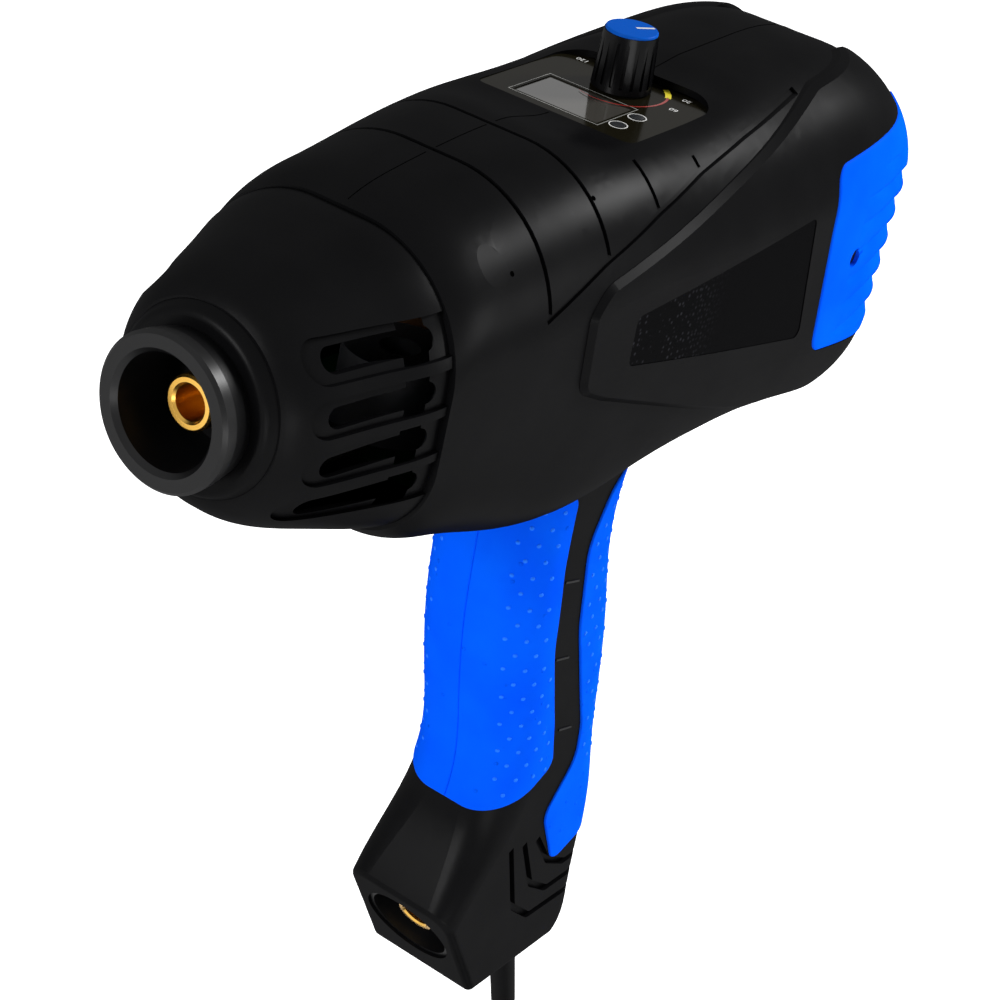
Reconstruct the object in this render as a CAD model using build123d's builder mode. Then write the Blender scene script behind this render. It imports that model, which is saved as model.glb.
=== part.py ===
"""Handheld arc welding gun: an inverter welder in a pistol-shaped housing.

+Z is up, the nose points along -Y and +X is the tool's left. The origin is the middle of the
grip. Stations along the barrel are measured back from the nose ring and heights from the
barrel's axis; SIDE carries both, so a side profile is drawn as (back, height).
"""
from build123d import *
import math
import os

os.makedirs("parts", exist_ok=True)

# ---- driving dimensions, mm -------------------------------------------------------------
NOSE_Y = -185.0            # nose ring's front face, ahead of the grip's middle
AXIS_Z = 125.0             # barrel axis above the grip's middle
WALL = 2.8                 # moulded housing wall
SEAM = 55.0                # where the nose cowl meets the housing

# (back, half width, top, bottom, top corner radius, bottom corner radius)
BARREL = (
    (SEAM, 40.9, 40.2, -38.4, 33.5, 26.0),
    (75.0, 42.7, 46.2, -45.7, 34.5, 26.5),
    (100.0, 44.3, 50.0, -52.0, 34.5, 27.0),
    (130.0, 45.6, 52.2, -55.2, 32.0, 28.0),
    (160.0, 46.6, 53.2, -51.0, 32.5, 28.0),
    (190.0, 47.0, 55.8, -49.2, 34.0, 28.0),
    (220.0, 47.0, 58.2, -49.8, 36.0, 28.0),
    (250.0, 46.6, 59.0, -51.2, 35.5, 26.0),
    (272.0, 43.8, 53.2, -46.8, 31.5, 23.0),
    (284.0, 38.0, 46.2, -41.3, 25.0, 19.0),
)
COWL = (
    (13.0, 24.3, 24.3, -24.3, 23.6, 23.6),
    (17.0, 28.2, 28.4, -29.3, 27.4, 27.0),
    (25.0, 31.6, 31.8, -33.0, 29.6, 28.0),
    (36.0, 34.9, 34.8, -35.2, 30.8, 27.5),
    (SEAM, 40.1, 39.4, -37.5, 32.2, 25.5),
)
# (height, front, rear, half width, front corner radius, rear corner radius)
HANDLE = (
    (-44.0, 144.5, 203.0, 24.0, 17.0, 17.0),
    (-60.0, 148.8, 200.4, 22.3, 17.0, 17.0),
    (-88.0, 150.8, 200.8, 22.0, 17.0, 17.0),
    (-112.0, 153.4, 208.2, 22.0, 17.0, 17.0),
    (-143.0, 160.8, 217.4, 21.0, 16.0, 16.0),
    (-170.0, 166.2, 224.0, 20.5, 15.5, 15.5),
    (-188.0, 162.6, 227.6, 20.5, 13.0, 13.0),
    (-208.0, 151.2, 229.4, 20.5, 9.0, 11.0),
    (-235.0, 145.6, 231.0, 20.5, 8.0, 10.0),
    (-252.0, 147.0, 225.0, 20.5, 8.0, 9.0),
)
BASE_TILT = 32.0           # base socket's face looks this far below the horizontal
BASE_FACE = (160.0, -229.5)  # middle of that face, (back, height)

SOCKET_BORE = 9.0          # plug pin of a 10-25 mm2 welding connector
SOCKET_OD = 13.7
SOCKET_CHAMFER = 0.6       # on the brass socket's bore and rim
CUP_ID = 28.4              # insulating cup round each socket
NOSE_RING_OD = 39.0
NOSE_RECESS = 9.5          # brass lies this far behind the nose ring
BASE_RECESS = 4.0
BASE_ROUND = 2.5           # softened borders of the base's socket face and foot

PANEL_TILT = 3.2           # panel rises to the rear
PANEL_MIDDLE = (162.2, 50.6)  # (back, height) of the panel's top face
PANEL_SIZE = (50.0, 44.6, 2.0)
WINDOW_MIDDLE = (-2.5, -8.6)  # from the panel's middle, (left, back)
WINDOW_SIZE = (27.0, 17.6)
KNOB_BACK = 10.6           # knob axis behind the panel's middle
KNOB_HEIGHT = 17.0
KNOB_SKIRT_R = 8.4
KNOB_TOP_R = 7.5
KNOB_FLUTES = 18

GROOVES = (88.0, 111.6, 134.8, 158.3, 184.0)  # shadow grooves round the barrel
GROOVE_WIDTH = 1.4
GRIP_PROUD = 0.7
GRIP_DEPTH = 1.4
FLANK_PROUD = 1.6
FLANK_BEVEL = 1.5
GRIP_ROUND = 0.6           # rounded borders of the rubber
BUMPER_ROUND = 1.2
CLEAR_OF_REAR = 262.0
BUMPER_PROUD = 2.0
BUMPER_DEPTH = 1.6

REAR_WALL = 280.6          # inner face of the rear wall
BUMPER_WRAP = 29.5         # the bumpers end this far from the middle of the rear face
GROOVE_STARTS = (-1.0, -1.0, 29.5, 33.5, 35.0)  # inner end of each groove, from the middle
CHEVRONS = (0.0, 8.0, 16.0)
CHEVRON_DEPTH = 1.8
FRONT_CUP = 22.0           # depth of the insulating cups
BASE_CUP = 18.0
CUP_FLOOR = 4.0
STUD_LENGTH = 14.0         # socket's threaded tail, beyond the cup's bed
FAN_HEIGHT = 3.0
FAN_BACK = (264.0, 279.0)
BOARD_TOP = -28.0
BOARD = (70.0, 236.0, 34.0)  # power board: front, rear, half width
BOARD_THICK = 1.6
GRILLE = (56.0, 60.0)
SCREW_R = 1.6
SCREW_HEAD_R = 3.0
SCREW_SEAT = 9.0
SCALLOPS = 7
SCALLOP_LOW = -19.5
SCALLOP_PITCH = 8.6
SCALLOP_START = (53.0, 244.0)
BUMPER_REAR = 1.4
BUMPER_SCREW = (246.0, 4.6)
BUMPER_SCREW_SEAT = 45.6
COWL_WALL = 2.4
VENTS = ((18.0, 21.2), (5.4, 8.8), (-7.3, -3.2), (-19.8, -15.0))  # slot heights, front and rear
VENT_FRONT = 22.9
VENT_REAR = 51.0
VENT_WIDTH = 5.6
BAY_WIDTH = 9.6
BAY_DEPTH = 1.1
COLLAR_R = 18.4
STUD_R = 5.0
BORE_DEPTH = 12.0
POSTS = ((30.0, 84.0), (30.0, 226.0))
HOUSING_SCREWS = ((158.5, -88.0), (206.0, -196.0), (112.0, -46.0), (236.0, -44.5), (72.0, 34.0))

LUG = 2.0
NUT_FLATS = 17.0
NUT_HEIGHT = 6.0
LENSES = ((15.0, -13.0), (15.0, -3.9))  # from the panel's middle, (left, back)
LENS_R = 1.9
BUSH_R = 3.5
SHAFT_R = 3.0
SHAFT_CLEARANCE = 0.05
MODULE_HEIGHT = 9.0
KNOB_LIFT = 0.6            # knob's rim above the panel
LOUVRES = 7
LOUVRE = 4.6
LOUVRE_PITCH = 7.6
FAN_SIZE = 60.0
FAN_R = 27.2
FAN_BLADES = 7
SINK_BACK = (150.0, 190.0)
SINK_HEIGHT = 42.0
SINK_FINS = 6
TRANSFORMER = 127.0        # stations of the parts on the power board
CHOKE = 91.0
CAPACITORS = 213.0

CORD_D = 7.5
SLEEVE_R = (4.9, 4.75, 4.3)   # in the base, just outside it, and at the tip
SLEEVE_LENGTH = 58.0
CORD_EXIT = (219.0, -249.0)   # (back, height)
CORD_TILT = 20.0              # leaves down and back, from the vertical
SEAT_DEPTH = 12.0             # cord clamp's seat, inside the base
CLAMP_THICK = 5.0
CLAMP_SCREW = 11.0            # clamp screws either side of the cord
FLOOR_Z = -260.0              # surface that the cord's put-away length lies on
COIL_MIDDLE = (83.0, 15.0)
COIL_R = 44.0                 # middle of the turns: under 12 cord diameters across
TAIL_LIFT = 6.3               # tail and plug rise a little, so the plug rests on the floor
TAIL = 34.0

SIDE = Plane(origin=(0, NOSE_Y, AXIS_Z), x_dir=(0, 1, 0), z_dir=(1, 0, 0))


# ---- placing ----------------------------------------------------------------------------
def point(left, back, height):
    return (left, NOSE_Y + back, AXIS_Z + height)


def cross_plane(back, height=0.0, left=0.0):
    """Across the barrel: X to the left, Y up, normal to the nose."""
    return Plane(origin=point(left, back, height), x_dir=(1, 0, 0), z_dir=(0, -1, 0))


def level_plane(height, back=0.0, left=0.0):
    """Level: X to the left, Y back, normal up."""
    return Plane(origin=point(left, back, height), x_dir=(1, 0, 0), z_dir=(0, 0, 1))


def side_plane(left, back=0.0, height=0.0):
    """Along the barrel: X back, Y up, normal to the left."""
    return Plane(origin=point(left, back, height), x_dir=(0, 1, 0), z_dir=(1, 0, 0))


def tilted(left, back, height, nose_ward, upward):
    """Plane whose normal leans in the symmetry plane; its X is the tool's left."""
    return Plane(origin=point(left, back, height), x_dir=(1, 0, 0), z_dir=(0, -nose_ward, upward))


tilt = math.radians(PANEL_TILT)
PANEL = tilted(0, *PANEL_MIDDLE, math.sin(tilt), math.cos(tilt))
KNOB = tilted(0, PANEL_MIDDLE[0] + KNOB_BACK * math.cos(tilt),
              PANEL_MIDDLE[1] + KNOB_BACK * math.sin(tilt), math.sin(tilt), math.cos(tilt))
down = math.radians(BASE_TILT)
BASE_MOUTH = tilted(0, *BASE_FACE, math.cos(down), -math.sin(down))
NOSE_MOUTH = cross_plane(0)
fall = math.radians(CORD_TILT)
CORD_OUT = tilted(0, *CORD_EXIT, -math.sin(fall), -math.cos(fall))


def write(built, name):
    built.part.label = name
    export_step(built.part, f"parts/{name}.step")


# ---- forms shared by the shells ----------------------------------------------------------
def lofted_barrel(stations, grow):
    with BuildPart() as form:
        for back, half_width, top, bottom, top_radius, bottom_radius in stations:
            with BuildSketch(cross_plane(back)) as section:
                with Locations((0, (top + bottom) / 2)):
                    Rectangle(2 * (half_width + grow), top - bottom + 2 * grow)
                fillet(section.vertices().group_by(Axis.Y)[-1], top_radius + grow)
                fillet(section.vertices().group_by(Axis.Y)[0], bottom_radius + grow)
        loft()
    return form.part


def lofted_handle(grow, lowest=0.0):
    """The grip and base. A positive lowest raises the bottom, for the hollow inside."""
    with BuildPart() as form:
        for height, front, rear, half_width, front_radius, rear_radius in HANDLE:
            if height == HANDLE[-1][0]:
                height += lowest
            with BuildSketch(level_plane(height)) as section:
                with Locations((0, (front + rear) / 2)):
                    Rectangle(2 * (half_width + grow), rear - front + 2 * grow)
                fillet(section.vertices().group_by(Axis.Y)[-1], rear_radius + grow)
                fillet(section.vertices().group_by(Axis.Y)[0], front_radius + grow)
        loft()
        split(bisect_by=BASE_MOUTH.offset(min(grow, 0)), keep=Keep.BOTTOM)
    return form.part


def side_prism(outline, near=0.0, far=60.0, round_to=0.0):
    """A side profile, given as (back, height) corners, carried from near to far on the left."""
    with BuildPart() as prism:
        with BuildSketch(SIDE.offset(near)) as profile:
            with BuildLine():
                Polyline(*outline, close=True)
            make_face()
            if round_to:
                fillet(profile.vertices(), round_to)
        extrude(amount=far - near)
    return prism.part


def smooth_prism(corners, radii, near=0.0, far=60.0):
    """A side profile whose corners have a radius each."""
    with BuildPart() as prism:
        with BuildSketch(SIDE.offset(near)):
            with BuildLine():
                FilletPolyline(*corners, radius=radii, close=True)
            make_face()
        extrude(amount=far - near)
    return prism.part


barrel_outer = lofted_barrel(BARREL, 0)
barrel_inner = lofted_barrel(BARREL[:-1] + ((REAR_WALL,) + BARREL[-1][1:],), -WALL)
barrel_skin = lofted_barrel(BARREL, -0.8)
barrel_flank = lofted_barrel(BARREL, FLANK_PROUD)
with BuildPart() as handle_form:
    add(lofted_handle(0))
    socket_face = handle_form.faces().sort_by(Axis(BASE_MOUTH.origin, BASE_MOUTH.z_dir))[-1]
    foot = handle_form.faces().sort_by(Axis.Z)[0]
    fillet(socket_face.edges() + foot.edges(), BASE_ROUND)
handle_outer = handle_form.part
handle_inner = lofted_handle(-WALL, WALL)
handle_grip_top = lofted_handle(GRIP_PROUD)
handle_grip_bed = lofted_handle(-GRIP_DEPTH)

# ---- side profiles, (back, height) --------------------------------------------------------
CREASE = ((87.0, 19.6), (110.4, 30.0), (134.7, 37.9), (158.3, 43.5), (185.0, 48.3), (219.3, 53.5))
FLANK = ((104.6, 18.0), (110.2, 24.4), (170.5, 40.4), (226.8, 54.6), (300.0, 62.0),
         (300.0, -50.0), (205.0, -36.0), (118.0, -9.0), (107.0, -4.5))
FLANK_RADII = (6.0, 8.0, 60.0, 30.0, 1.0, 1.0, 40.0, 8.0, 6.0)
LABEL = ((125.5, -0.5), (124.8, 13.6), (212.5, 24.0), (222.0, -15.5))
BUMPER = ((222.9, 36.1), (225.4, 17.0), (233.0, -23.3), (300.0, -30.0), (300.0, 46.0))
BUMPER_RADII = (5.0, 25.0, 7.0, 1.0, 1.0)
FRONT_GRIP = ((135.0, -60.0), (163.5, -60.0), (165.5, -88.0), (171.0, -118.0), (184.5, -150.0),
              (190.5, -168.0), (176.0, -175.5), (152.0, -187.0), (135.0, -192.0))
FRONT_GRIP_RADII = (1.0, 7.0, 60.0, 60.0, 40.0, 5.0, 25.0, 10.0, 1.0)
REAR_GRIP = ((250.0, -60.0), (185.0, -60.0), (176.5, -84.0), (183.0, -114.0), (203.0, -158.0),
             (205.5, -172.0), (193.5, -190.0), (206.5, -214.0), (222.0, -208.0), (250.0, -198.0))
REAR_GRIP_RADII = (1.0, 12.0, 22.0, 60.0, 25.0, 14.0, 8.0, 5.0, 10.0, 1.0)

flank_prism = smooth_prism(FLANK, FLANK_RADII, near=20)
label_prism = side_prism(LABEL, near=30, round_to=2.5)
bumper_prism = smooth_prism(BUMPER, BUMPER_RADII, near=BUMPER_WRAP)
front_grip_prism = smooth_prism(FRONT_GRIP, FRONT_GRIP_RADII)
rear_grip_prism = smooth_prism(REAR_GRIP, REAR_GRIP_RADII)


def crease_height(back):
    """Height of the crease line at a station."""
    for (back_a, height_a), (back_b, height_b) in zip(CREASE, CREASE[1:]):
        if back <= back_b:
            return height_a + (height_b - height_a) * (back - back_a) / (back_b - back_a)
    return CREASE[-1][1]


# ---- left half of the housing, finished inside and out --------------------------------------
with BuildPart() as groove_cutter:
    for back, inner_edge in zip(GROOVES, GROOVE_STARTS):
        with BuildSketch(SIDE.offset(inner_edge)):
            with Locations((back, crease_height(back) + 20)):
                Rectangle(GROOVE_WIDTH, 40)
        extrude(amount=60 - inner_edge)
    with BuildSketch(SIDE.offset(20)):
        with BuildLine() as crease_line:
            FilletPolyline(*CREASE, radius=40)
        trace(crease_line.line, GROOVE_WIDTH)
    extrude(amount=40)
    add(barrel_skin, mode=Mode.SUBTRACT)


def skin_piece(prism, over, under):
    """What a side profile cuts out of the layer between two forms."""
    with BuildPart() as piece:
        add(prism)
        add(over, mode=Mode.INTERSECT)
        add(under, mode=Mode.SUBTRACT)
    return piece.part


def bed(prism, under):
    """Cutter that opens a shallow bed down to the form below it."""
    with BuildPart() as cutter:
        add(prism)
        add(under, mode=Mode.SUBTRACT)
    return cutter.part


def outer_edges(piece, over):
    """Edges where a raised piece's walls meet its outer skin, clear of the rear wall."""
    def on_skin(spot):
        return any(face.distance_to(spot) < 0.02 for face in over.faces())

    walls = [face for face in piece.faces() if not on_skin(face.center())]
    return [edge for wall in walls for edge in wall.edges()
            if on_skin(edge.position_at(0.5)) and edge.position_at(0.5).Y < NOSE_Y + CLEAR_OF_REAR]


bumper_floor = lofted_barrel(BARREL, -BUMPER_DEPTH)
label_floor = lofted_barrel(BARREL, FLANK_PROUD - 0.9)
with BuildPart() as raised_flank:
    add(skin_piece(flank_prism, barrel_flank, barrel_skin))
    chamfer(outer_edges(raised_flank.part, barrel_flank), FLANK_BEVEL)

with BuildPart() as chevrons:
    for reach in CHEVRONS:
        with BuildSketch(SIDE.offset(8)):
            with BuildLine() as chevron:
                FilletPolyline((178 + reach, -196 - reach * 0.2), (188.5 + reach, -224 + reach * 0.7),
                               (200 + reach, -233 + reach * 0.9), (245, -234 + reach), radius=4)
            trace(chevron.line, 2.4)
        extrude(amount=30)
    add(lofted_handle(-CHEVRON_DEPTH), mode=Mode.SUBTRACT)

with BuildPart() as panel_opening:
    with BuildSketch(PANEL.offset(-PANEL_SIZE[2])) as outline:
        Rectangle(PANEL_SIZE[0], PANEL_SIZE[1])
        fillet(outline.vertices().group_by(Axis.Y)[-1], 9)
        fillet(outline.vertices().group_by(Axis.Y)[0], 3)
    extrude(amount=30)
    with BuildSketch(PANEL.offset(-PANEL_SIZE[2])):
        Rectangle(PANEL_SIZE[0] - 7, PANEL_SIZE[1] - 8)
    extrude(amount=-12)

with BuildPart() as hollow:
    add(barrel_inner)
    add(handle_inner)

with BuildPart() as bosses:
    for back, height in HOUSING_SCREWS:
        with BuildSketch(side_plane(0, back, height)):
            Circle(4.2)
        extrude(amount=46)
    for left, back in POSTS:
        with BuildSketch(level_plane(BOARD_TOP - BOARD_THICK, back, left)):
            Circle(4)
        extrude(amount=-30)
    with BuildSketch(PANEL.offset(-PANEL_SIZE[2])):
        with Locations((14, 0)):
            Rectangle(28, PANEL_SIZE[1] + 6)
    extrude(amount=-3)

    with BuildSketch(CORD_OUT.offset(-SEAT_DEPTH)):
        with Locations((15, 0)):
            Rectangle(30, 26)
    extrude(amount=30)

with BuildPart() as inner_ribs:
    add(bosses.part)
    add(barrel_outer, mode=Mode.INTERSECT)

with BuildPart() as handle_ribs:
    add(bosses.part)
    add(handle_outer, mode=Mode.INTERSECT)

with BuildPart() as mouths:
    with BuildSketch(BASE_MOUTH.offset(6)):
        Circle(CUP_ID / 2 + 1.5)
    extrude(amount=-(6 + BASE_CUP + CUP_FLOOR))
    with BuildSketch(cross_plane(REAR_WALL - 2, FAN_HEIGHT)) as window:
        Rectangle(*GRILLE)
        fillet(window.vertices(), 6)
    extrude(amount=-12)
    with BuildSketch(CORD_OUT.offset(12)):
        Circle(SLEEVE_R[0])
    extrude(amount=-40)

with BuildPart() as pilot_holes:
    for left, back in POSTS:
        with BuildSketch(level_plane(BOARD_TOP, back, left)):
            Circle(SCREW_R)
        extrude(amount=-BOARD_THICK - 8)
    with BuildSketch(CORD_OUT.offset(-SEAT_DEPTH - 1)):
        with Locations((CLAMP_SCREW, 0)):
            Circle(SCREW_R)
    extrude(amount=9)

with BuildPart() as left_shell:
    add(barrel_outer)
    add(handle_outer)
    add(hollow.part, mode=Mode.SUBTRACT)
    split(bisect_by=Plane.YZ, keep=Keep.TOP)
    add(inner_ribs.part)
    add(handle_ribs.part)
    add(raised_flank.part)
    add(groove_cutter.part, mode=Mode.SUBTRACT)
    add(chevrons.part, mode=Mode.SUBTRACT)
    add(bed(bumper_prism, bumper_floor), mode=Mode.SUBTRACT)
    add(bed(label_prism, label_floor), mode=Mode.SUBTRACT)
    add(bed(front_grip_prism, handle_grip_bed), mode=Mode.SUBTRACT)
    add(bed(rear_grip_prism, handle_grip_bed), mode=Mode.SUBTRACT)
    add(panel_opening.part, mode=Mode.SUBTRACT)
    add(mouths.part, mode=Mode.SUBTRACT)
    add(pilot_holes.part, mode=Mode.SUBTRACT)

with BuildPart() as left_housing:
    add(left_shell.part)
    for back, height in HOUSING_SCREWS:
        with BuildSketch(side_plane(-1, back, height)):
            Circle(SCREW_R)
        extrude(amount=13, mode=Mode.SUBTRACT)
write(left_housing, "left_housing")

with BuildPart() as right_housing:
    add(mirror(left_shell.part, about=Plane.YZ, mode=Mode.PRIVATE))
    for back, height in HOUSING_SCREWS:
        with BuildSketch(side_plane(-60, back, height)):
            Circle(SCREW_HEAD_R + 0.4)
        extrude(amount=60 - SCREW_SEAT, mode=Mode.SUBTRACT)
        with BuildSketch(side_plane(-SCREW_SEAT - 1, back, height)):
            Circle(SCREW_R)
        extrude(amount=SCREW_SEAT + 2, mode=Mode.SUBTRACT)
write(right_housing, "right_housing")

with BuildPart() as housing_screws:
    for back, height in HOUSING_SCREWS:
        with BuildSketch(side_plane(-SCREW_SEAT, back, height)):
            Circle(SCREW_R)
        extrude(amount=SCREW_SEAT + 11)
        with BuildSketch(side_plane(-SCREW_SEAT, back, height)):
            Circle(SCREW_HEAD_R)
        extrude(amount=-2.4)
write(housing_screws, "housing_screws")


# ---- rubber grips, rear bumpers and side plates ---------------------------------------------
def pair(solid, name):
    """A left-hand piece and its mirror image."""
    with BuildPart() as left_piece:
        add(solid)
    write(left_piece, f"left_{name}")
    with BuildPart() as right_piece:
        add(mirror(solid, about=Plane.YZ, mode=Mode.PRIVATE))
        if name == "front_grip":
            with BuildSketch(side_plane(-60, *HOUSING_SCREWS[0])):
                Circle(SCREW_HEAD_R + 0.4)
            extrude(amount=50, mode=Mode.SUBTRACT)
    write(right_piece, f"right_{name}")


with BuildPart() as scallops:
    for step in range(SCALLOPS):
        height = SCALLOP_LOW + step * SCALLOP_PITCH
        with BuildSketch(Plane(origin=point(*SCALLOP_START, height), x_dir=(0, 0, 1), z_dir=(-1, 6, 0))):
            Circle(3.4)
        extrude(amount=60)

bumper_outer = lofted_barrel(BARREL[:-1] + ((BARREL[-1][0] + BUMPER_REAR,) + BARREL[-1][1:],), BUMPER_PROUD)
with BuildPart() as bumper:
    add(skin_piece(bumper_prism, bumper_outer, bumper_floor))
    fillet(outer_edges(bumper.part, bumper_outer), BUMPER_ROUND)
    add(scallops.part, mode=Mode.SUBTRACT)
    with BuildSketch(side_plane(30, *BUMPER_SCREW)):
        Circle(SCREW_HEAD_R)
    extrude(amount=30, mode=Mode.SUBTRACT)

with BuildPart() as front_grip:
    add(skin_piece(front_grip_prism, handle_grip_top, handle_grip_bed))
    fillet(outer_edges(front_grip.part, handle_grip_top), GRIP_ROUND)

with BuildPart() as rear_grip:
    add(skin_piece(rear_grip_prism, handle_grip_top, handle_grip_bed))
    fillet(outer_edges(rear_grip.part, handle_grip_top), GRIP_ROUND)

side_plate = skin_piece(label_prism, lofted_barrel(BARREL, FLANK_PROUD - 0.2), label_floor)
for solid, name in ((bumper.part, "bumper"), (front_grip.part, "front_grip"),
                    (rear_grip.part, "rear_grip"),
                    (side_plate, "side_plate")):
    pair(solid, name)

with BuildPart() as bumper_screws:
    for hand in (1, -1):
        with BuildSketch(side_plane(hand * BUMPER_SCREW_SEAT, *BUMPER_SCREW)):
            Circle(SCREW_HEAD_R - 0.2)
        extrude(amount=hand * 1.8)
write(bumper_screws, "bumper_screws")


# ---- nose cowl with its vents -----------------------------------------------------------------
def vent_line(start, end, width):
    """Slanted slot outline between two (back, height) points, on the side profile."""
    middle = ((start[0] + end[0]) / 2, (start[1] + end[1]) / 2)
    run, rise = end[0] - start[0], end[1] - start[1]
    with Locations(middle):
        SlotCenterToCenter(math.hypot(run, rise), width, rotation=math.degrees(math.atan2(rise, run)))


with BuildPart() as vent_cutter:
    with BuildSketch(SIDE.offset(-60)):
        for low_start, low_end in VENTS:
            vent_line((VENT_FRONT + VENT_WIDTH / 2, low_start), (VENT_REAR - VENT_WIDTH / 2, low_end),
                      VENT_WIDTH)
    extrude(amount=120)

with BuildPart() as bay_cutter:
    with BuildSketch(SIDE.offset(-60)):
        for low_start, low_end in VENTS:
            vent_line((VENT_FRONT, low_start), (SEAM + 6, low_end + 1.4), BAY_WIDTH)
    extrude(amount=120)
    add(lofted_barrel(COWL, -BAY_DEPTH), mode=Mode.SUBTRACT)

with BuildPart() as nose_cowl:
    add(lofted_barrel(COWL, 0))
    add(lofted_barrel(((COWL[0][0] + COWL_WALL,) + COWL[0][1:],) + COWL[1:], -COWL_WALL),
        mode=Mode.SUBTRACT)
    add(bay_cutter.part, mode=Mode.SUBTRACT)
    add(vent_cutter.part, mode=Mode.SUBTRACT)
    with BuildSketch(SIDE) as rim:
        with BuildLine():
            FilletPolyline((9.6, 10), (9.6, 22.2), (13, 24), (16.4, 24), (16.4, 10),
                           radius=(0.3, 2.4, 2.0, 0.3, 0.3), close=True)
        make_face()
    revolve(axis=Axis(point(0, 0, 0), (0, 1, 0)))
    with BuildSketch(cross_plane(5)):
        Circle(COLLAR_R)
    extrude(amount=-20, mode=Mode.SUBTRACT)
write(nose_cowl, "nose_cowl")


# ---- welding sockets ----------------------------------------------------------------------------
def brass_socket(mouth, recess, cup_depth):
    with BuildPart() as socket:
        with BuildSketch(mouth.offset(-recess)):
            Circle(SOCKET_OD / 2)
        extrude(amount=recess - cup_depth)
        with BuildSketch(mouth.offset(-cup_depth)):
            Circle(STUD_R)
        extrude(amount=-STUD_LENGTH)
        with BuildSketch(mouth.offset(-recess)):
            Circle(SOCKET_BORE / 2)
        extrude(amount=-BORE_DEPTH, mode=Mode.SUBTRACT)
        face = socket.faces().sort_by(Axis(mouth.origin, mouth.z_dir))[-1]
        chamfer(face.edges(), SOCKET_CHAMFER)
    return socket


for mouth, recess, cup_depth, name in ((NOSE_MOUTH, NOSE_RECESS, FRONT_CUP, "front_socket"),
                                       (BASE_MOUTH, BASE_RECESS, BASE_CUP, "base_socket")):
    write(brass_socket(mouth, recess, cup_depth), name)

with BuildPart() as front_insulator:
    with BuildSketch(SIDE):
        with BuildLine():
            Polyline((0, CUP_ID / 2 + 1.2), (0, NOSE_RING_OD / 2 - 0.9), (0.9, NOSE_RING_OD / 2),
                     (4, NOSE_RING_OD / 2 - 0.2), (9.4, COLLAR_R), (16.4, COLLAR_R), (16.4, 22),
                     (19, 22), (19, COLLAR_R), (FRONT_CUP + CUP_FLOOR, COLLAR_R - 1.4),
                     (FRONT_CUP + CUP_FLOOR, STUD_R), (FRONT_CUP, STUD_R), (FRONT_CUP, 8.2),
                     (FRONT_CUP - 3, 8.2), (FRONT_CUP - 3, 10.4), (FRONT_CUP, 10.4),
                     (FRONT_CUP, CUP_ID / 2 - 0.6), (1.4, CUP_ID / 2), close=True)
        make_face()
    revolve(axis=Axis(point(0, 0, 0), (0, 1, 0)))
write(front_insulator, "front_insulator")

with BuildPart() as base_insulator:
    with BuildSketch(BASE_MOUTH.offset(-1)):
        Circle(CUP_ID / 2 + 1.5)
    extrude(amount=1 - BASE_CUP - CUP_FLOOR)
    with BuildSketch(BASE_MOUTH.offset(-1)):
        Circle(CUP_ID / 2)
    extrude(amount=1 - BASE_CUP, mode=Mode.SUBTRACT)
    with BuildSketch(BASE_MOUTH):
        Circle(STUD_R)
    extrude(amount=-40, mode=Mode.SUBTRACT)
write(base_insulator, "base_insulator")

MOUTHS = ((NOSE_MOUTH, FRONT_CUP + CUP_FLOOR), (BASE_MOUTH, BASE_CUP + CUP_FLOOR))
with BuildPart() as cable_lugs:
    for mouth, depth in MOUTHS:
        with BuildSketch(mouth.offset(-depth)):
            Circle(8)
            with Locations((0, -13)):
                Rectangle(12, 14)
            Circle(STUD_R, mode=Mode.SUBTRACT)
        extrude(amount=-LUG)
write(cable_lugs, "cable_lugs")

with BuildPart() as socket_nuts:
    for mouth, depth in MOUTHS:
        with BuildSketch(mouth.offset(-depth - LUG)):
            RegularPolygon(NUT_FLATS / 2, 6, major_radius=False)
            Circle(STUD_R, mode=Mode.SUBTRACT)
        extrude(amount=-NUT_HEIGHT)
write(socket_nuts, "socket_nuts")


# ---- control panel, its board and the knob --------------------------------------------------------
with BuildPart() as control_panel:
    with BuildSketch(PANEL) as plate:
        Rectangle(PANEL_SIZE[0], PANEL_SIZE[1])
        fillet(plate.vertices().group_by(Axis.Y)[-1], 9)
        fillet(plate.vertices().group_by(Axis.Y)[0], 3)
        with Locations(WINDOW_MIDDLE):
            Rectangle(*WINDOW_SIZE, mode=Mode.SUBTRACT)
        with Locations(*LENSES):
            Circle(LENS_R, mode=Mode.SUBTRACT)
        with Locations((0, KNOB_BACK)):
            Circle(BUSH_R, mode=Mode.SUBTRACT)
    extrude(amount=-PANEL_SIZE[2])
write(control_panel, "control_panel")

with BuildPart() as display_window:
    with BuildSketch(PANEL.offset(-0.3)):
        with Locations(WINDOW_MIDDLE):
            Rectangle(*WINDOW_SIZE)
    extrude(amount=0.3 - PANEL_SIZE[2])
write(display_window, "display_window")

with BuildPart() as indicator_lenses:
    with BuildSketch(PANEL.offset(0.2)):
        with Locations(*LENSES):
            Circle(LENS_R)
    extrude(amount=-PANEL_SIZE[2] - 0.2)
write(indicator_lenses, "indicator_lenses")

with BuildPart() as display_module:
    with BuildSketch(PANEL.offset(-PANEL_SIZE[2])):
        with Locations(WINDOW_MIDDLE):
            Rectangle(WINDOW_SIZE[0] + 1, WINDOW_SIZE[1] + 1)
    extrude(amount=-MODULE_HEIGHT)
write(display_module, "display_module")

with BuildPart() as control_board:
    with BuildSketch(PANEL.offset(-PANEL_SIZE[2] - MODULE_HEIGHT)):
        Rectangle(PANEL_SIZE[0] - 8, PANEL_SIZE[1] - 9)
    extrude(amount=-BOARD_THICK)
write(control_board, "control_board")

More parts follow.
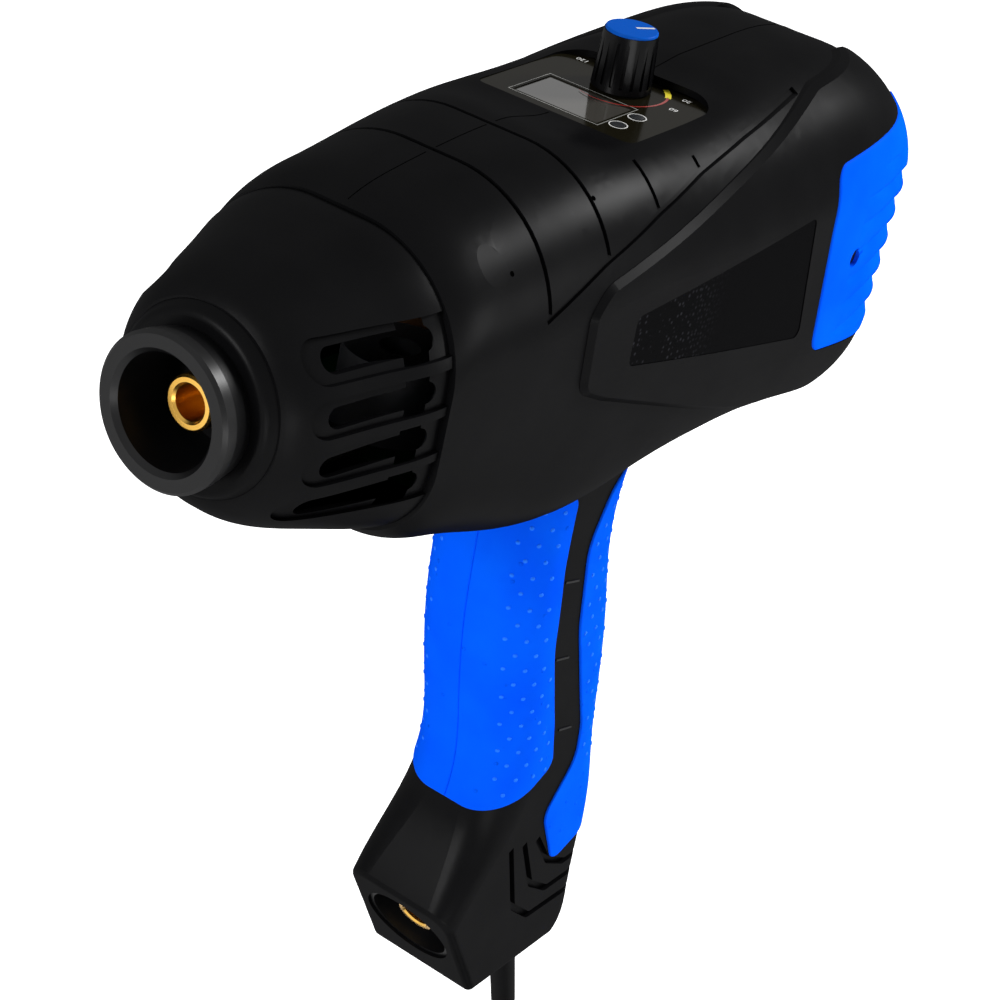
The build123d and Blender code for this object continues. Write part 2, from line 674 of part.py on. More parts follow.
with BuildPart() as potentiometer:
    with BuildSketch(KNOB.offset(-PANEL_SIZE[2])):
        Circle(7.4)
    extrude(amount=-MODULE_HEIGHT)
    with BuildSketch(KNOB.offset(-PANEL_SIZE[2])):
        Circle(BUSH_R)
    extrude(amount=PANEL_SIZE[2] + 3.4)
    with BuildSketch(KNOB.offset(4)):
        Circle(SHAFT_R + SHAFT_CLEARANCE)
    extrude(amount=-10.5, mode=Mode.SUBTRACT)
write(potentiometer, "potentiometer")

with BuildPart() as potentiometer_nut:
    with BuildSketch(KNOB):
        RegularPolygon(5, 6, major_radius=False)
        Circle(BUSH_R, mode=Mode.SUBTRACT)
    extrude(amount=2)
write(potentiometer_nut, "potentiometer_nut")

with BuildPart() as pot_shaft:
    with BuildSketch(KNOB.offset(-6)):
        Circle(SHAFT_R)
    extrude(amount=6 + KNOB_HEIGHT - 3)
write(pot_shaft, "pot_shaft")

with BuildPart() as knob_skirt:
    with BuildSketch(KNOB.offset(KNOB_LIFT)):
        Circle(KNOB_SKIRT_R)
    with BuildSketch(KNOB.offset(KNOB_HEIGHT - 0.8)):
        Circle(KNOB_TOP_R)
    loft()
    with BuildSketch(KNOB.offset(KNOB_LIFT + 1.6)):
        with PolarLocations(KNOB_SKIRT_R, KNOB_FLUTES):
            Rectangle(1.6, 0.9)
    extrude(amount=KNOB_HEIGHT, mode=Mode.SUBTRACT)
    with BuildSketch(KNOB):
        Circle(6.4)
    extrude(amount=4.6, mode=Mode.SUBTRACT)
    with BuildSketch(KNOB):
        Circle(SHAFT_R)
    extrude(amount=KNOB_HEIGHT - 3, mode=Mode.SUBTRACT)
write(knob_skirt, "knob_skirt")

with BuildPart() as knob_cap:
    with BuildSketch(KNOB.offset(KNOB_HEIGHT - 0.8)):
        Circle(KNOB_TOP_R - 0.3)
    extrude(amount=0.8)
    fillet(knob_cap.edges().sort_by(Axis.Z)[-1], 0.4)
write(knob_cap, "knob_cap")


# ---- rear air inlet and fan ------------------------------------------------------------------------
with BuildPart() as rear_grille:
    with BuildSketch(cross_plane(REAR_WALL, FAN_HEIGHT)) as plug_in:
        Rectangle(*GRILLE)
        fillet(plug_in.vertices(), 6)
    extrude(amount=-(BARREL[-1][0] - REAR_WALL))
    with BuildSketch(cross_plane(FAN_BACK[1], FAN_HEIGHT)) as flange:
        Rectangle(GRILLE[0] + 6, GRILLE[1] + 6)
        fillet(flange.vertices(), 8)
    extrude(amount=FAN_BACK[1] - REAR_WALL)
    with BuildSketch(cross_plane(FAN_BACK[1] - 1, FAN_HEIGHT)):
        with GridLocations(0, LOUVRE_PITCH, 1, LOUVRES):
            SlotOverall(GRILLE[0] - 10, LOUVRE)
    extrude(amount=-20, mode=Mode.SUBTRACT)
write(rear_grille, "rear_grille")

fan_middle = sum(FAN_BACK) / 2
with BuildPart() as fan_frame:
    with BuildSketch(cross_plane(FAN_BACK[0], FAN_HEIGHT)) as frame:
        Rectangle(FAN_SIZE, FAN_SIZE)
        fillet(frame.vertices(), 5)
        Circle(FAN_R + 1, mode=Mode.SUBTRACT)
    extrude(amount=FAN_BACK[0] - FAN_BACK[1])
    with BuildSketch(cross_plane(FAN_BACK[0], FAN_HEIGHT)):
        Circle(12)
        with PolarLocations(0, 3):
            with Locations((FAN_R / 2, 0)):
                Rectangle(FAN_R + 3, 4)
    extrude(amount=-1.6)
    with BuildSketch(cross_plane(FAN_BACK[0], FAN_HEIGHT)):
        Circle(3.5)
    extrude(amount=-7)
    with BuildSketch(cross_plane(FAN_BACK[0] - 1, FAN_HEIGHT)):
        Circle(SHAFT_R / 2 + SHAFT_CLEARANCE)
    extrude(amount=-12, mode=Mode.SUBTRACT)
write(fan_frame, "fan_frame")

with BuildPart() as fan_rotor:
    with BuildSketch(cross_plane(FAN_BACK[0] + 2.4, FAN_HEIGHT)):
        Circle(12)
    extrude(amount=-11.4)
    with BuildSketch(cross_plane(FAN_BACK[0], FAN_HEIGHT)):
        Circle(10)
    extrude(amount=-8, mode=Mode.SUBTRACT)
    with BuildSketch(cross_plane(FAN_BACK[0] + 0.5, FAN_HEIGHT)):
        Circle(SHAFT_R / 2)
    extrude(amount=-9)
    for blade in range(FAN_BLADES):
        turn = math.radians(360 * blade / FAN_BLADES)
        outward = (math.cos(turn), 0, math.sin(turn))
        chord = (-math.sin(turn) * 0.8, 0.6, math.cos(turn) * 0.8)
        root = Plane(origin=point(11.5 * math.cos(turn), fan_middle + 0.6,
                                  FAN_HEIGHT + 11.5 * math.sin(turn)), x_dir=chord, z_dir=outward)
        with BuildSketch(root):
            Rectangle(13.5, 1.2)
        extrude(amount=FAN_R - 11.5)
write(fan_rotor, "fan_rotor")


# ---- power electronics ------------------------------------------------------------------------------
POST_SPOTS = [(hand * left, back) for left, back in POSTS for hand in (1, -1)]
with BuildPart() as power_board:
    with BuildSketch(level_plane(BOARD_TOP)):
        with Locations((0, (BOARD[0] + BOARD[1]) / 2)):
            Rectangle(2 * BOARD[2], BOARD[1] - BOARD[0])
        with Locations(*POST_SPOTS):
            Circle(SCREW_R, mode=Mode.SUBTRACT)
    extrude(amount=-BOARD_THICK)
write(power_board, "power_board")

with BuildPart() as heat_sinks:
    for hand in (1, -1):
        with BuildSketch(cross_plane(SINK_BACK[0])):
            with BuildLine():
                Line((hand * 10, BOARD_TOP), (hand * 10, BOARD_TOP + SINK_HEIGHT))
                Line((hand * 10, BOARD_TOP + SINK_HEIGHT), (hand * 13.5, BOARD_TOP + SINK_HEIGHT))
                Line((hand * 13.5, BOARD_TOP + SINK_HEIGHT), (hand * 13.5, BOARD_TOP))
                Line((hand * 13.5, BOARD_TOP), (hand * 10, BOARD_TOP))
            make_face()
            with Locations((hand * 21.5, BOARD_TOP + SINK_HEIGHT / 2)):
                with GridLocations(0, (SINK_HEIGHT - 1.6) / (SINK_FINS - 1), 1, SINK_FINS):
                    Rectangle(17, 1.6)
        extrude(amount=SINK_BACK[0] - SINK_BACK[1])
write(heat_sinks, "heat_sinks")

with BuildPart() as power_transistors:
    for hand in (1, -1):
        with BuildSketch(side_plane(hand * 10, SINK_BACK[0] + 20, BOARD_TOP + 14)):
            with GridLocations(18, 0, 2, 1):
                Rectangle(15.5, 20)
        extrude(amount=-hand * 4.6)
        with BuildSketch(side_plane(hand * 8.4, SINK_BACK[0] + 20, BOARD_TOP + 2)):
            with GridLocations(18, 0, 2, 1):
                with GridLocations(5.4, 0, 3, 1):
                    Rectangle(1.2, 4)
        extrude(amount=-hand * 1)
write(power_transistors, "power_transistors")

with BuildPart() as transformer_core:
    with BuildSketch(cross_plane(TRANSFORMER - 9)):
        with Locations((0, BOARD_TOP + 21)):
            Rectangle(48, 42)
            with Locations((-14.5, 0), (14.5, 0)):
                Rectangle(11, 26, mode=Mode.SUBTRACT)
    extrude(amount=-18)
write(transformer_core, "transformer_core")

with BuildPart() as transformer_winding:
    with BuildSketch(level_plane(BOARD_TOP + 8.5, TRANSFORMER)) as turns:
        Rectangle(38, 38)
        fillet(turns.vertices(), 8)
        Rectangle(18, 18, mode=Mode.SUBTRACT)
    extrude(amount=25)
write(transformer_winding, "transformer_winding")

with BuildPart() as output_choke:
    with BuildSketch(level_plane(BOARD_TOP, CHOKE)):
        Circle(15)
        Circle(5.5, mode=Mode.SUBTRACT)
    extrude(amount=22)
write(output_choke, "output_choke")

with BuildPart() as capacitors:
    with BuildSketch(level_plane(BOARD_TOP, CAPACITORS)):
        with GridLocations(24, 23, 2, 2):
            Circle(10.8)
    extrude(amount=40)
write(capacitors, "capacitors")

with BuildPart() as board_screws:
    with BuildSketch(level_plane(BOARD_TOP)):
        with Locations(*POST_SPOTS):
            Circle(SCREW_HEAD_R)
    extrude(amount=2)
    with BuildSketch(level_plane(BOARD_TOP)):
        with Locations(*POST_SPOTS):
            Circle(SCREW_R)
    extrude(amount=-BOARD_THICK - 7)
write(board_screws, "board_screws")

LUG_FACE = FRONT_CUP + CUP_FLOOR + LUG
with BuildPart() as output_busbar:
    with BuildSketch(SIDE.offset(-6)):
        with BuildLine():
            Polyline((LUG_FACE, -13), (LUG_FACE, BOARD_TOP), (CHOKE - 15.6, BOARD_TOP),
                     (CHOKE - 15.6, BOARD_TOP + LUG), (LUG_FACE + LUG, BOARD_TOP + LUG),
                     (LUG_FACE + LUG, -13), close=True)
        make_face()
    extrude(amount=12)
write(output_busbar, "output_busbar")


def bundle(corners, radii, radius, count=1, pitch=1.0):
    """Insulated wires side by side along a (back, height) route."""
    back, height = corners[0]
    ahead = (corners[1][0] - back, corners[1][1] - height)
    with BuildPart() as wires:
        with BuildLine(SIDE) as route:
            FilletPolyline(*corners, radius=radii)
        with BuildSketch(tilted(0, back, height, -ahead[0], ahead[1])):
            with GridLocations(pitch, 0, count, 1):
                Circle(radius)
        sweep(path=route.line)
    return wires


write(bundle(((188.4, -229.3), (196.9, -224.0), (192, -190), (186, -140), (177, -80),
              (177, BOARD_TOP - BOARD_THICK)), (4, 14, 40, 40), 3.2), "base_lead")
write(bundle(((212.6, -231.4), (210, -223), (216, -196), (208, -150), (192, -90),
              (190, BOARD_TOP - BOARD_THICK - 0.1)), (8, 14, 40, 40), 1.3, 3, 3.2), "mains_leads")

with BuildPart() as control_ribbon:
    with BuildSketch(level_plane(BOARD_TOP, SINK_BACK[0] - 1)):
        Rectangle(10, 1)
    extrude(amount=65.2)
write(control_ribbon, "control_ribbon")


# ---- mains cord: clamp, sleeve, free stretch, put-away coil and plug -----------------------------------
def on_cord(along, aside=0.0):
    """A point on the cord's exit line, this far out of the base."""
    spot = CORD_OUT.origin + CORD_OUT.z_dir * along + CORD_OUT.y_dir * aside
    return (spot.X, spot.Y, spot.Z)


coil_x, coil_y = COIL_MIDDLE
outer_turn = COIL_R + CORD_D / 2
top_turn = FLOOR_Z + 2.5 * CORD_D
route = [on_cord(-18), on_cord(22, 0.6), on_cord(76),
         (coil_x - 36, coil_y + outer_turn, top_turn), (coil_x, coil_y + outer_turn, top_turn)]
corners = [Vector(*spot) for spot in route]
radii = []
for before, corner, after in zip(corners, corners[1:], corners[2:]):
    shorter = min((corner - before).length, (after - corner).length)
    half_turn = math.radians((corner - before).get_angle(after - corner)) / 2
    radii.append(0.45 * shorter / math.tan(half_turn))

with BuildPart() as mains_cord:
    with BuildLine():
        run = FilletPolyline(*route, radius=radii)
    with BuildSketch(Plane(origin=corners[0], z_dir=corners[1] - corners[0])):
        Circle(CORD_D / 2)
    sweep(path=run)
write(mains_cord, "mains_cord")
section = math.pi * CORD_D ** 2 / 4
print("cord radii, mm:", [round(radius) for radius in radii])
print("tube volume / (section x length):", round(mains_cord.part.volume / section / run.length, 4))

with BuildPart() as cord_clamp:
    with BuildSketch(CORD_OUT.offset(-SEAT_DEPTH)) as bar:
        Rectangle(2 * CLAMP_SCREW + 8, 14)
        fillet(bar.vertices(), 3)
        with Locations((CLAMP_SCREW, 0), (-CLAMP_SCREW, 0)):
            Circle(SCREW_R, mode=Mode.SUBTRACT)
    extrude(amount=-CLAMP_THICK)
    add(mains_cord.part, mode=Mode.SUBTRACT)
write(cord_clamp, "cord_clamp")

with BuildPart() as clamp_screws:
    for left in (CLAMP_SCREW, -CLAMP_SCREW):
        with BuildSketch(CORD_OUT.offset(-SEAT_DEPTH - CLAMP_THICK)):
            with Locations((left, 0)):
                Circle(SCREW_HEAD_R - 0.2)
        extrude(amount=-2)
        with BuildSketch(CORD_OUT.offset(-SEAT_DEPTH - CLAMP_THICK)):
            with Locations((left, 0)):
                Circle(SCREW_R)
        extrude(amount=CLAMP_THICK + 7)
write(clamp_screws, "clamp_screws")

with BuildPart() as cord_sleeve:
    with BuildSketch(CORD_OUT.offset(-SEAT_DEPTH)):
        Circle(SLEEVE_R[0])
    extrude(amount=SEAT_DEPTH + 6)
    with BuildSketch(CORD_OUT.offset(6)):
        Circle(SLEEVE_R[1])
    with BuildSketch(CORD_OUT.offset(SLEEVE_LENGTH)):
        Circle(SLEEVE_R[2])
    loft()
    add(mains_cord.part, mode=Mode.SUBTRACT)
write(cord_sleeve, "cord_sleeve")

TAIL_LEAN = math.radians(TAIL_LIFT)
TAIL_OUT = Plane(origin=(coil_x, coil_y - outer_turn + 0.5, FLOOR_Z + 1.5 * CORD_D - 0.4),
                 x_dir=(0, 1, 0), z_dir=(-math.cos(TAIL_LEAN), 0, math.sin(TAIL_LEAN)))
COIL_SECTION = (2 * CORD_D, 3 * CORD_D)
with BuildPart() as cord_coil:
    with BuildSketch(Plane(origin=(coil_x, coil_y, FLOOR_Z), x_dir=(1, 0, 0), z_dir=(0, -1, 0))):
        with Locations((COIL_R, COIL_SECTION[1] / 2)):
            RectangleRounded(*COIL_SECTION, CORD_D / 2 - 0.1)
    revolve(axis=Axis((coil_x, coil_y, 0), (0, 0, 1)))
write(cord_coil, "cord_coil")

with BuildPart() as cord_tail:
    with BuildSketch(TAIL_OUT):
        Circle(CORD_D / 2)
    extrude(amount=TAIL)
write(cord_tail, "cord_tail")

turned = math.radians(-50)
outward = (math.cos(turned), math.sin(turned), 0)
with BuildPart() as coil_tie:
    with BuildSketch(Plane(origin=(coil_x, coil_y, FLOOR_Z), x_dir=outward,
                           z_dir=(outward[1], -outward[0], 0))):
        with Locations((COIL_R - 0.12, COIL_SECTION[1] / 2)):
            RectangleRounded(COIL_SECTION[0] + 2.5, COIL_SECTION[1] + 2, CORD_D / 2 + 0.9)
            RectangleRounded(COIL_SECTION[0] + 0.5, COIL_SECTION[1] + 0.1, CORD_D / 2 - 0.1,
                             mode=Mode.SUBTRACT)
    extrude(amount=5, both=True)
write(coil_tie, "coil_tie")

with BuildPart() as plug_body:
    with BuildSketch(Plane(origin=TAIL_OUT.origin, x_dir=TAIL_OUT.z_dir, z_dir=(0, -1, 0))):
        with BuildLine():
            Polyline((TAIL, 0), (TAIL, 6), (TAIL + 26, 8), (TAIL + 31, 14), (TAIL + 36, 18.4),
                     (TAIL + 52, 18.4), (TAIL + 52, 0), close=True)
        make_face()
    revolve(axis=Axis(TAIL_OUT.origin, TAIL_OUT.z_dir))
    with BuildSketch(TAIL_OUT.offset(TAIL + 38)):
        with Locations((0, 18.4), (0, -18.4)):
            Rectangle(8, 5)
    extrude(amount=20, mode=Mode.SUBTRACT)
write(plug_body, "plug_body")

with BuildPart() as plug_pins:
    with BuildSketch(TAIL_OUT.offset(TAIL + 52)):
        with GridLocations(19, 0, 2, 1):
            Circle(2.4)
    extrude(amount=19)
write(plug_pins, "plug_pins")
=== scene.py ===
"""Handheld arc welding gun: finishes, printed marks and the mains cord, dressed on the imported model.

Metres throughout, +Z up, the nose towards -Y and +X the tool's left. Sizes in mm are named as such
or carry MM.
"""
import math

import bmesh
import bpy
from mathutils import Matrix, Vector
from mathutils.bvhtree import BVHTree


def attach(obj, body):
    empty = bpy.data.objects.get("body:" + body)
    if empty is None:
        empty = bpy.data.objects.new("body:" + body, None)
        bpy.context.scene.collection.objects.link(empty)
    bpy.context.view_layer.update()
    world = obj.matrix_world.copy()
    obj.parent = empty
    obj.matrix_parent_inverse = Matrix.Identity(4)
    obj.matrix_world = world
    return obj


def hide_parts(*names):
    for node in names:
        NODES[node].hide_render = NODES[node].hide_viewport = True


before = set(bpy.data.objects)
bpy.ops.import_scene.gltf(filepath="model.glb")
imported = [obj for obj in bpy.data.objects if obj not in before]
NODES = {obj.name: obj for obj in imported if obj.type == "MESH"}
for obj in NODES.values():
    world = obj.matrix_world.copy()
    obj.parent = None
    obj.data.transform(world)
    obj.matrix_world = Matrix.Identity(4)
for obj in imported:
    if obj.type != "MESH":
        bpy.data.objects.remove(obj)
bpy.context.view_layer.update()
MM = 0.001
SIDES = (("left", 1), ("right", -1))

# ---- camera ----------------------------------------------------------------------------------
CAMERA_AZIMUTH = 29.877
CAMERA_ELEVATION = 27.093
CAMERA_ROLL = 12.681
CAMERA_DISTANCE = 0.6971
CAMERA_TARGET = Vector((0, -0.02689, 0.05256))
CAMERA_LENS = 86.885
CAMERA_SENSOR = 36


def direction(azimuth, elevation):
    """Towards an azimuth, in degrees from the nose to the tool's left, and an elevation."""
    turn, rise = math.radians(azimuth), math.radians(elevation)
    return Vector((math.sin(turn) * math.cos(rise), -math.cos(turn) * math.cos(rise), math.sin(rise)))


def camera_matrix():
    turn, roll = math.radians(CAMERA_AZIMUTH), math.radians(CAMERA_ROLL)
    back = direction(CAMERA_AZIMUTH, CAMERA_ELEVATION)
    right = Vector((math.cos(turn), math.sin(turn), 0))
    up = back.cross(right)
    tilted_right = right * math.cos(roll) + up * math.sin(roll)
    tilted_up = up * math.cos(roll) - right * math.sin(roll)
    placed = Matrix((tilted_right, tilted_up, back)).transposed().to_4x4()
    placed.translation = CAMERA_TARGET + back * CAMERA_DISTANCE
    return placed


camera = bpy.data.objects.new("camera", bpy.data.cameras.new("camera"))
bpy.context.scene.collection.objects.link(camera)
camera.matrix_world = camera_matrix()
camera.data.lens = CAMERA_LENS
camera.data.sensor_width = CAMERA_SENSOR
camera.data.clip_start = 0.01
bpy.context.scene.camera = camera
bpy.context.scene.view_settings.view_transform = "Standard"


# ---- surfaces --------------------------------------------------------------------------------
CLOUD_SIZE = 22.0          # mm, slow drift of colour and gloss from handling and from the moulding
GLOSS_DRIFT = 0.06         # how far roughness drifts each way


def linear(code):
    """A six-digit sRGB colour as linear RGBA."""
    parts = (int(code[i:i + 2], 16) / 255 for i in (0, 2, 4))
    return (*((p / 12.92 if p <= 0.04045 else ((p + 0.055) / 1.055) ** 2.4) for p in parts), 1)


def add(tree, kind, sockets=None, **settings):
    """A node with its settings made and its sockets set or linked."""
    made = tree.nodes.new("ShaderNode" + kind)
    for key, value in settings.items():
        setattr(made, key, value)
    for key, value in (sockets or {}).items():
        if isinstance(value, bpy.types.NodeSocket):
            tree.links.new(value, made.inputs[key])
        else:
            made.inputs[key].default_value = value
    return made


def scattered_dots(tree, place, pitch, radius):
    """One at the middle of scattered round dots (mm), falling to 0 between them."""
    away = add(tree, "TexVoronoi", {"Vector": place, "Scale": 1 / (pitch * MM), "Randomness": 0.55})
    return add(tree, "MapRange", {"Value": away.outputs["Distance"], "From Min": 0.4 * radius / pitch,
                                  "From Max": radius / pitch, "To Min": 1, "To Max": 0}).outputs["Result"]


def surface(name, colour, rough, grain=0.0, depth=0.0, tint=None, dotted=None, **sockets):
    """A surface with fine grain (mm across, mm deep), drifting gloss, and a drift to a tint."""
    made = bpy.data.materials.new(name)
    made.use_nodes = True
    tree = made.node_tree
    shader = tree.nodes["Principled BSDF"]
    place = add(tree, "TexCoord").outputs["Object"]
    cloud = add(tree, "TexNoise", {"Vector": place, "Scale": 1 / (CLOUD_SIZE * MM), "Detail": 3,
                                   "Roughness": 0.5}).outputs["Fac"]
    gloss = add(tree, "MapRange", {"Value": cloud, "From Min": 0.3, "From Max": 0.7,
                                   "To Min": rough - GLOSS_DRIFT, "To Max": rough + GLOSS_DRIFT})
    tree.links.new(gloss.outputs["Result"], shader.inputs["Roughness"])
    if tint:
        share = add(tree, "MapRange", {"Value": cloud, "From Min": 0.3, "From Max": 0.7}).outputs["Result"]
        drift = add(tree, "Mix", {0: share, 6: linear(colour), 7: linear(tint)}, data_type="RGBA")
        tree.links.new(drift.outputs[2], shader.inputs["Base Color"])
    else:
        shader.inputs["Base Color"].default_value = linear(colour)
    relief = {}
    if grain:
        pores = add(tree, "TexNoise", {"Vector": place, "Scale": 1 / (grain * MM), "Detail": 3,
                                       "Roughness": 0.6}).outputs["Fac"]
        bump = add(tree, "Bump", {"Height": pores, "Distance": depth * MM, "Strength": 1.0})
        relief = {"Normal": bump.outputs["Normal"]}
    if dotted:
        pitch, radius, height = dotted
        bump = add(tree, "Bump", {"Height": scattered_dots(tree, place, pitch, radius),
                                  "Distance": height * MM, "Strength": 1.0, **relief})
        relief = {"Normal": bump.outputs["Normal"]}
    if relief:
        tree.links.new(relief["Normal"], shader.inputs["Normal"])
    for key, value in sockets.items():
        shader.inputs[key.replace("_", " ")].default_value = value
    return made


def satin(name, colour, rough, sheen, grain=0.0, depth=0.0, tint=None, dotted=None):
    """A dull moulded skin that returns only a share of what glossy plastic would."""
    return surface(name, colour, rough, grain, depth, tint, dotted, Specular_IOR_Level=0.0,
                   Coat_Weight=sheen, Coat_Roughness=rough, Coat_IOR=2.0)


# Typical mould grain is near 0.1 mm across. It is drawn 0.4 to 0.8 mm across, as coarse as it needs to show.
# Moulded ABS, fine spark grain: a deep black with soft, wide highlights on the shoulders.
housing_black = satin("moulded_abs", "060607", 0.34, 0.033, 0.5, 0.02, tint="0B0B0C")
# Glass-filled nylon out of a coarser mould: the same black, a little drier and rougher.
cowl_black = satin("sparked_nylon", "060607", 0.36, 0.035, 0.7, 0.05, tint="0B0B0C")
# Compression-moulded thermoset: greyer rims, because its skin is harder and glossier.
collar_black = satin("collar_thermoset", "070708", 0.34, 0.15, 0.6, 0.03)
# Overmoulded rubber: a full, even blue with almost no highlight.
rubber_blue = satin("bumper_rubber", "0052FA", 0.5, 0.008, 0.4, 0.01, tint="015DFC")
# The same rubber with low dots moulded in between the raised ones, which breaks up its sheen.
grip_blue = satin("dotted_grip_rubber", "0052FA", 0.5, 0.01, 0.4, 0.01, tint="015DFC",
                  dotted=(6.5, 0.8, 0.35))
# Tips of the rubber's dots: smoother than the rubber round them, and a lighter blue that is a painted
# highlight on each dot.
dot_highlight_blue = satin("rubber_dots_painted_highlight", "1E74FC", 0.3, 0.05)
# Shadow inside a hairline joint or a small pit: no light comes back.
joint_black = satin("joint_shadow", "020202", 0.6, 0.0)
# Crests of moulded bars, polished by wear: they catch a thin line of light.
bar_black = satin("moulded_bar_edges", "0C0C0D", 0.3, 0.12)
# Polycarbonate film, back-printed: the flattest black on the tool, with a grey dot screen on it.
plate_black = satin("plate_film", "040405", 0.25, 0.012)
# Hard-coated polyester over the controls: near-black with a warm cast and sharp reflections.
panel_black = satin("panel_gloss", "15130B", 0.14, 0.12)
# Black-oxide steel: a dark grey metal with blurred reflections.
steel_black = surface("screw_steel", "2A2A2C", 0.35, Metallic=1.0)
# Turned brass: warm yellow, bright where the tool marks run round. They are drawn as fine grain.
brass = surface("turned_brass", "C9A050", 0.24, 0.3, 0.004, tint="B88C3C", Metallic=1.0)
# Tinned copper: a dull, slightly warm grey metal, darkened far below bright tin as painted shade for the
# inside of the housing seen through the vents.
tin = surface("tinned_copper", "4E4B45", 0.5, Metallic=1.0)
# Smoked acrylic: a smooth grey pane that mirrors softly.
smoke = surface("window_smoke", "3E3C38", 0.08, Specular_IOR_Level=0.35)
# Milky polycarbonate, unlit: dark, with a little depth.
lens = surface("lens_milky", "26282B", 0.25, Transmission_Weight=0.3)
# Moulded phenolic of electronic parts: a plain dull black.
module_black = satin("module_plastic", "0C0C0E", 0.5, 0.04)
# Solder mask on a glass-epoxy board: an even green, darkened as painted shade for the inside of the housing
# seen through the vents.
board_green = surface("solder_mask_painted_shade", "06240F", 0.5, Specular_IOR_Level=0.1)
# Nickel plate: a bright, pale metal.
nickel = surface("nickel_plate", "C4C1B8", 0.28, Metallic=1.0)
# Moulded ABS, polished flutes: black with narrow highlights.
knob_black = satin("knob_plastic", "060607", 0.25, 0.08, 0.4, 0.01)
# Moulded ABS cap, lightly grained: a darker blue than the rubber.
knob_blue = satin("knob_cap_blue", "0A55BC", 0.3, 0.03, 0.4, 0.006)
# Glass-filled polyester of a fan: a dry black.
fan_black = satin("fan_plastic", "070708", 0.4, 0.04, 0.5, 0.015)
# Extruded aluminium, left bare: a pale metal with die lines, drawn as coarse grain.
aluminium = surface("sink_aluminium", "B8BABD", 0.35, 1.5, 0.01, Metallic=1.0)
# Transfer-moulded epoxy of a power package: dark grey, half dull.
epoxy = surface("package_epoxy", "141415", 0.5)
# Sintered ferrite: a stony dark grey.
ferrite = surface("ferrite", "35363A", 0.6, 0.6, 0.02)
# Polyester tape over a copper winding: half dull, its brown darkened as painted shade for the inside of the
# housing seen through the vents.
copper = surface("winding_tape_painted_shade", "3A2410", 0.6, Specular_IOR_Level=0.1)
# Shrunk PVC sleeve of a capacitor: a glossy dark blue.
can_blue = surface("capacitor_sleeve", "14285C", 0.3)
# PVC insulation: a plain red.
wire_red = surface("wire_pvc", "A01810", 0.4)
# Ribbon cable's PVC: a plain grey.
ribbon_grey = surface("ribbon_pvc", "8E8E90", 0.45)
# Rubber sheath of a mains cord: black and dull, a little powdery.
cord_rubber = satin("cord_rubber", "0B0B0C", 0.5, 0.05, 0.6, 0.02)
# Woven hook-and-loop strap: a matt black. Such loops, near 0.3 mm, are drawn 0.8 mm across to show.
strap = satin("tie_strap", "0B0B0C", 0.8, 0.02, 0.8, 0.15)
# Screen-printing inks: flat and opaque, all with the same half dull skin.
print_white = surface("print_white", "D8D8D6", 0.4)
print_grey = surface("print_grey", "8C8C88", 0.4)
print_red = surface("print_red", "8A160F", 0.4)
print_yellow = surface("print_yellow", "E0D020", 0.4)

SCREEN_PITCH = 1.7         # mm between the film's dots, an estimate, coarse enough to show
SCREEN_RADIUS = 0.62
SCREEN_FULL = -0.040       # ahead of this, in metres, the dots are at their strongest
SCREEN_GONE = -0.016       # behind this they have faded out
SCREEN_STRENGTH = 0.9


def print_dot_screen(film):
    """Grey dots on the side plates' film, fading out towards the rear."""
    tree = film.node_tree
    place = add(tree, "TexCoord").outputs["Object"]
    along = add(tree, "SeparateXYZ", {0: place}).outputs["Y"]
    fade = add(tree, "MapRange", {"Value": along, "From Min": SCREEN_FULL, "From Max": SCREEN_GONE,
                                  "To Min": SCREEN_STRENGTH, "To Max": 0.0}).outputs["Result"]
    dots = scattered_dots(tree, place, SCREEN_PITCH, SCREEN_RADIUS)
    ink = add(tree, "Math", {0: dots, 1: fade}, operation="MULTIPLY").outputs[0]
    printed = add(tree, "Mix", {0: ink, 6: linear("040405"), 7: linear("26262A")}, data_type="RGBA")
    tree.links.new(printed.outputs[2], tree.nodes["Principled BSDF"].inputs["Base Color"])


print_dot_screen(plate_black)

FINISH = {
    housing_black: "left_housing right_housing",
    cowl_black: "nose_cowl",
    collar_black: "front_insulator base_insulator",
    rubber_blue: "left_bumper right_bumper",
    grip_blue: "left_front_grip right_front_grip left_rear_grip right_rear_grip",
    plate_black: "left_side_plate right_side_plate",
    panel_black: "control_panel",
    steel_black: "housing_screws bumper_screws board_screws clamp_screws",
    brass: "front_socket base_socket socket_nuts",
    tin: "cable_lugs output_busbar",
    smoke: "display_window",
    lens: "indicator_lenses",
    module_black: "display_module potentiometer",
    board_green: "control_board power_board",
    nickel: "potentiometer_nut pot_shaft plug_pins",
    knob_black: "knob_skirt",
    knob_blue: "knob_cap",
    fan_black: "rear_grille fan_frame fan_rotor",
    aluminium: "heat_sinks",
    epoxy: "power_transistors cord_clamp",
    ferrite: "transformer_core output_choke",
    copper: "transformer_winding",
    can_blue: "capacitors",
    wire_red: "base_lead mains_leads",
    ribbon_grey: "control_ribbon",
    cord_rubber: "mains_cord cord_coil cord_tail cord_sleeve plug_body",
    strap: "coil_tie",
}
for finish, names in FINISH.items():
    for name in names.split():
        NODES[name].data.materials.clear()
        NODES[name].data.materials.append(finish)


# ---- making and fitting pieces -------------------------------------------------------------------
def fitted(name, data, body="housing", place=None):
    """A mesh, curve or text as a piece that rides on a body, set in its place before it rides."""
    placed = bpy.data.objects.new(name, data)
    if place:
        placed.matrix_world = place
    bpy.context.scene.collection.objects.link(placed)
    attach(placed, body)
    return placed


def skinned(name, shape, finish):
    """The mesh of a finished bmesh, in one finish."""
    made = bpy.data.meshes.new(name)
    shape.to_mesh(made)
    shape.free()
    made.materials.append(finish)
    return made


def own_copy(node):
    """A CAD node's mesh as a new mesh, in place."""
    made = NODES[node].data.copy()
    made.transform(NODES[node].matrix_world)
    return made


